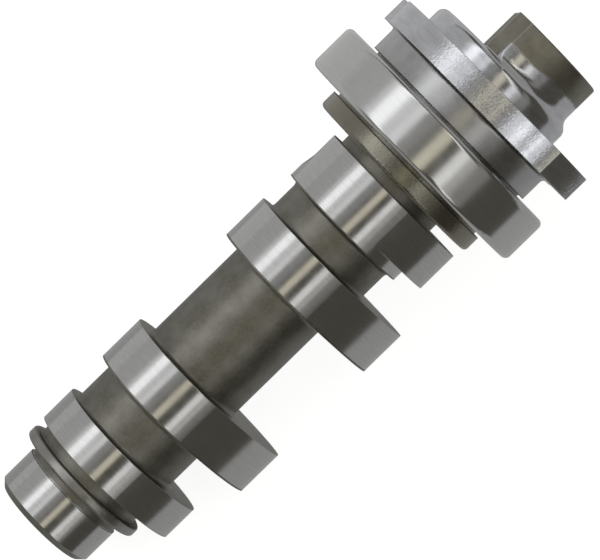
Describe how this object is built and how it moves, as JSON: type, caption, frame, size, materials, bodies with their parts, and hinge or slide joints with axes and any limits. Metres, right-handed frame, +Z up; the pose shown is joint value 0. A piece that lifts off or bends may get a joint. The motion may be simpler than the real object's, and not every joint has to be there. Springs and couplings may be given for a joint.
{
  "type": "camshaft",
  "caption": "Engine camshaft with pairs of wide and narrow lobes, a plain end journal, a ball bearing and an eared sprocket hub with a half-cut boss.",
  "frame": {"origin": "centre of the ball bearing, on the shaft's axis", "axes": "+X runs from the free end to the drive end, level with the table and 7.9 degrees below the shaft's own axis, because the shaft lies with its drive end raised by the bearing; +Z is up from the table"},
  "size_m": [0.1211, 0.0473, 0.0476],
  "materials": {
    "shaft_steel": "ground journals and lobes, dark satin between them",
    "hub_steel": "bright turned and tumbled steel",
    "bearing_steel": "fine ground bearing steel",
    "cage_steel": "pressed sheet steel",
    "ball_steel": "polished"
  },
  "bodies": {
    "shaft": {"camshaft": "shaft_steel", "sprocket_hub": "hub_steel", "bearing_inner_ring": "bearing_steel"},
    "cage": {"cage_half_inner": "cage_steel", "cage_half_outer": "cage_steel", "cage_rivets": "cage_steel", "ball_01": "ball_steel", "ball_02": "ball_steel", "ball_03": "ball_steel", "ball_04": "ball_steel", "ball_05": "ball_steel", "ball_06": "ball_steel", "ball_07": "ball_steel", "ball_08": "ball_steel", "ball_09": "ball_steel", "ball_10": "ball_steel", "ball_11": "ball_steel", "ball_12": "ball_steel", "ball_13": "ball_steel", "ball_14": "ball_steel"},
    "outer_ring": {"bearing_outer_ring": "bearing_steel"}
  },
  "joints": [
    {"name": "outer_ring_turn", "type": "hinge", "parent": "shaft", "child": "outer_ring", "pos_m": [0, 0, 0], "axis": [0.9906, 0, 0.1369], "continuous": true},
    {"name": "cage_turn", "type": "hinge", "parent": "shaft", "child": "cage", "pos_m": [0, 0, 0], "axis": [0.9906, 0, 0.1369], "continuous": true}
  ],
  "couplings": [
    {"joint": "cage_turn", "follows": "outer_ring_turn", "ratio": 0.5618}
  ]
}
